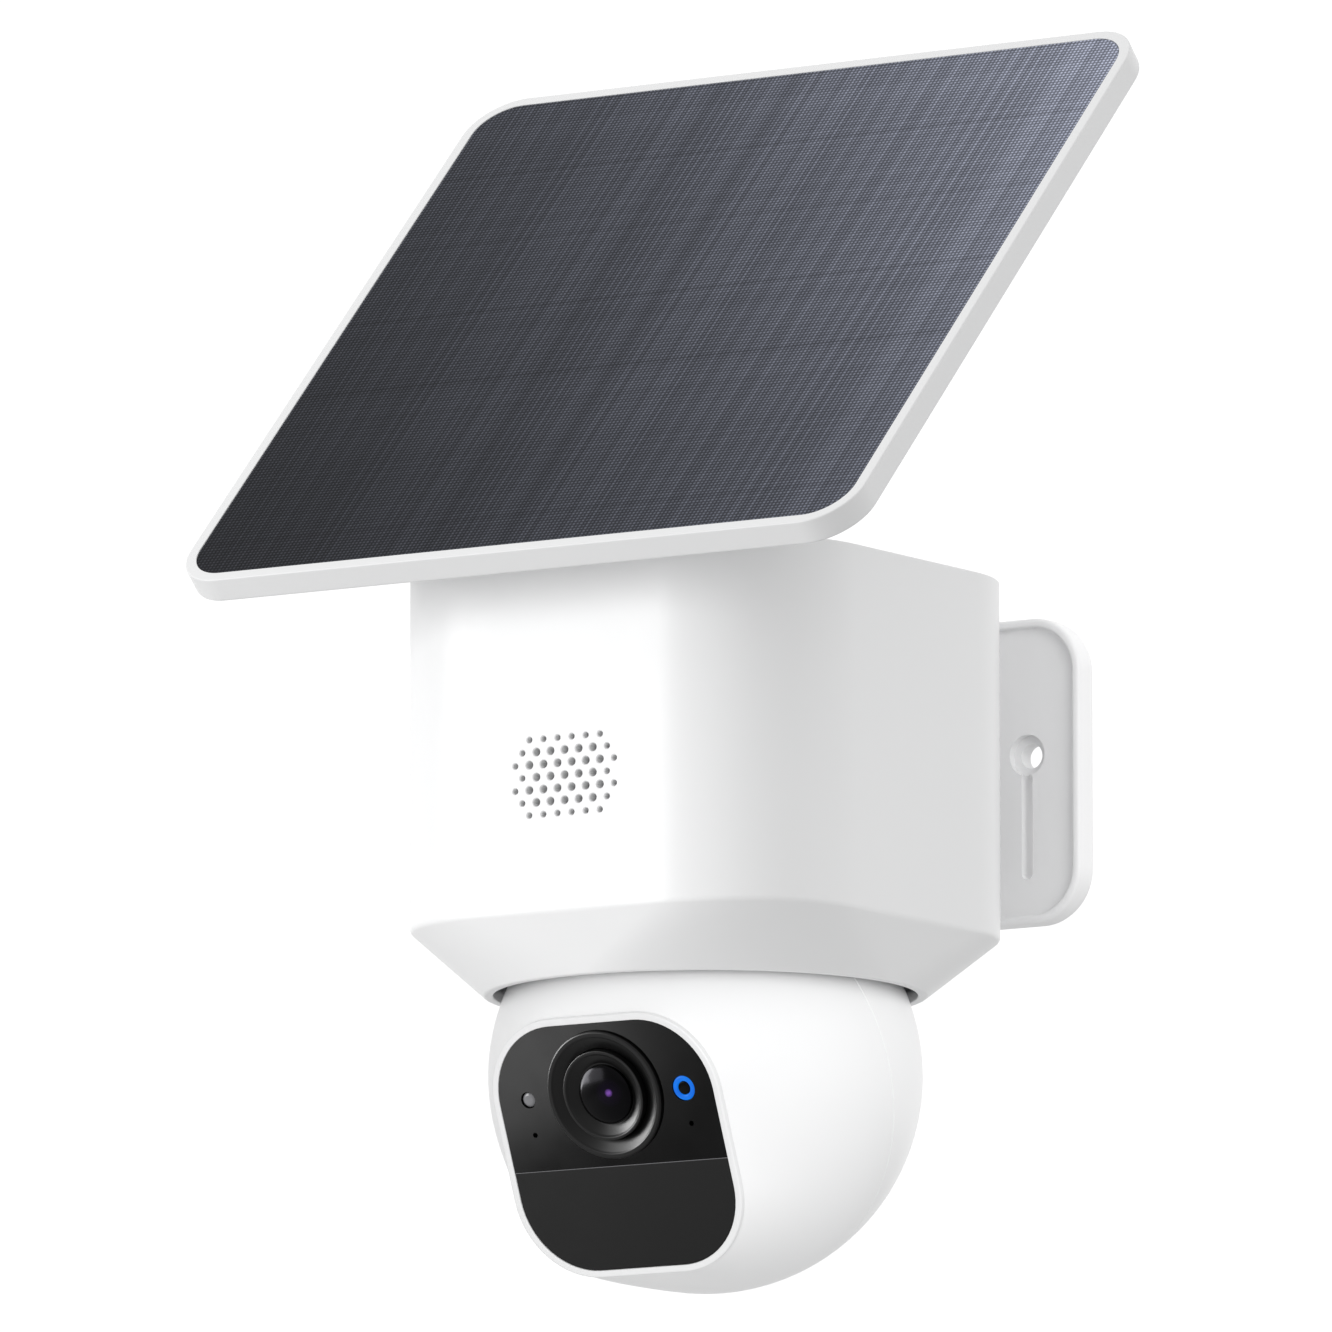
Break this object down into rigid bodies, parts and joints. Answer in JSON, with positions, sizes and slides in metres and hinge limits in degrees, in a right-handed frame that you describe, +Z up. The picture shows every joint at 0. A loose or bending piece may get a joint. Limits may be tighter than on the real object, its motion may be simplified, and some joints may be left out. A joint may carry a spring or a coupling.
{
  "type": "solar-powered security camera",
  "caption": "White outdoor security camera with a pan and tilt ball head under a rounded square housing, a tilting square solar panel above it and a wall bracket behind it.",
  "frame": {"origin": "centre of the wall plate's back face", "axes": "+Y out of the wall plate's back, into the wall; +Z up; the camera looks towards -Y; +X is on the right seen from in front"},
  "size_m": [0.1342, 0.1252, 0.2128],
  "materials": {
    "white_shell": "satin moulded",
    "bracket_plastic": "satin moulded",
    "trim_plastic": "semi-gloss",
    "gloss_black": "gloss",
    "window_black": "satin",
    "lens_black": "satin anodised",
    "lens_glass": "gloss",
    "light_blue": "lit",
    "sensor_gray": "gloss",
    "solar_cell": "semi-gloss",
    "solar_sheet": "textured",
    "inner_plastic": "matt",
    "rubber": "matt",
    "light_rubber": "matt",
    "steel": "brushed",
    "bronze": "machined",
    "gear_plastic": "moulded",
    "circuit_board": "solder mask",
    "battery_wrap": "shrink sleeve",
    "fine_mesh": "woven"
  },
  "bodies": {
    "housing": {"wall_bracket": "bracket_plastic", "lock_screw": "steel", "body_shell": "white_shell", "top_cover": "white_shell", "top_gasket": "rubber", "top_screws": "steel", "rear_cover": "white_shell", "rear_gasket": "rubber", "rear_screws": "steel", "speaker": "steel", "speaker_mesh": "fine_mesh", "battery_cells": "battery_wrap", "battery_holder": "inner_plastic", "main_board": "circuit_board", "port_board": "circuit_board", "pan_motor": "steel", "pan_chassis": "inner_plastic", "pan_bush": "bronze", "ball_shroud": "inner_plastic", "shroud_screws": "steel", "chassis_screws": "steel", "panel_stem": "white_shell", "stem_screws": "steel", "hinge_bolt": "steel", "hinge_nut": "steel", "friction_washers": "rubber"},
    "pan_yoke": {"neck": "inner_plastic", "pan_gear": "gear_plastic", "pan_clip": "steel", "tilt_gear": "gear_plastic", "tilt_bush": "bronze"},
    "head": {"head_front_shell": "white_shell", "head_rear_shell": "white_shell", "head_screws": "steel", "head_frame": "inner_plastic", "tilt_axle": "steel", "tilt_motor": "steel", "face_trim": "trim_plastic", "face_cover": "gloss_black", "lower_window": "window_black", "lens_bezel": "lens_black", "lens_barrel": "lens_black", "lens_glass": "lens_glass", "image_board": "circuit_board", "led_board": "circuit_board", "motion_sensor": "steel", "status_light": "light_blue", "light_sensor": "sensor_gray", "microphones": "steel", "card_reader": "steel"},
    "panel": {"panel_frame": "white_shell", "solar_laminate": "solar_cell", "panel_glass": "solar_sheet", "panel_hinge": "white_shell", "panel_screws": "steel"},
    "port_flap": {"port_flap": "light_rubber"},
    "sync_button": {"sync_button": "trim_plastic"},
    "pan_pinion": {"pan_pinion": "gear_plastic"},
    "tilt_pinion": {"tilt_pinion": "gear_plastic"},
    "card_door": {"card_door": "light_rubber"}
  },
  "joints": [
    {"name": "head_pan", "type": "hinge", "parent": "housing", "child": "pan_yoke", "pos_m": [0, -0.064, -0.0427], "axis": [0, 0, 1], "range_deg": [-172, 172]},
    {"name": "head_tilt", "type": "hinge", "parent": "pan_yoke", "child": "head", "pos_m": [0, -0.064, -0.0561], "axis": [1, 0, 0], "range_deg": [-8, 60]},
    {"name": "panel_tilt", "type": "hinge", "parent": "housing", "child": "panel", "pos_m": [0, -0.064, 0.0586], "axis": [1, 0, 0], "range_deg": [-30, 4]},
    {"name": "pan_pinion_spin", "type": "hinge", "parent": "housing", "child": "pan_pinion", "pos_m": [-0.01591, -0.04809, -0.0137], "axis": [0, 0, 1], "range_deg": [-700, 700]},
    {"name": "tilt_pinion_spin", "type": "hinge", "parent": "head", "child": "tilt_pinion", "pos_m": [-0.009, -0.05171, -0.0657], "axis": [1, 0, 0], "range_deg": [-30, 205]},
    {"name": "port_flap_swing", "type": "hinge", "parent": "housing", "child": "port_flap", "pos_m": [-0.0205, -0.021, -0.0086], "axis": [1, 0, 0], "range_deg": [0, 95]},
    {"name": "sync_button_press", "type": "slide", "parent": "housing", "child": "sync_button", "axis": [0, -1, 0], "range_m": [0, 0.0008], "stiffness_N_per_m": 300, "springref_m": -0.001},
    {"name": "card_door_swing", "type": "hinge", "parent": "head", "child": "card_door", "pos_m": [0, -0.06358, -0.09238], "axis": [-1, 0, 0], "range_deg": [0, 100]}
  ],
  "couplings": [
    {"joint": "pan_pinion_spin", "follows": "head_pan", "ratio": -4},
    {"joint": "tilt_pinion_spin", "follows": "head_tilt", "ratio": 3.3333}
  ]
}
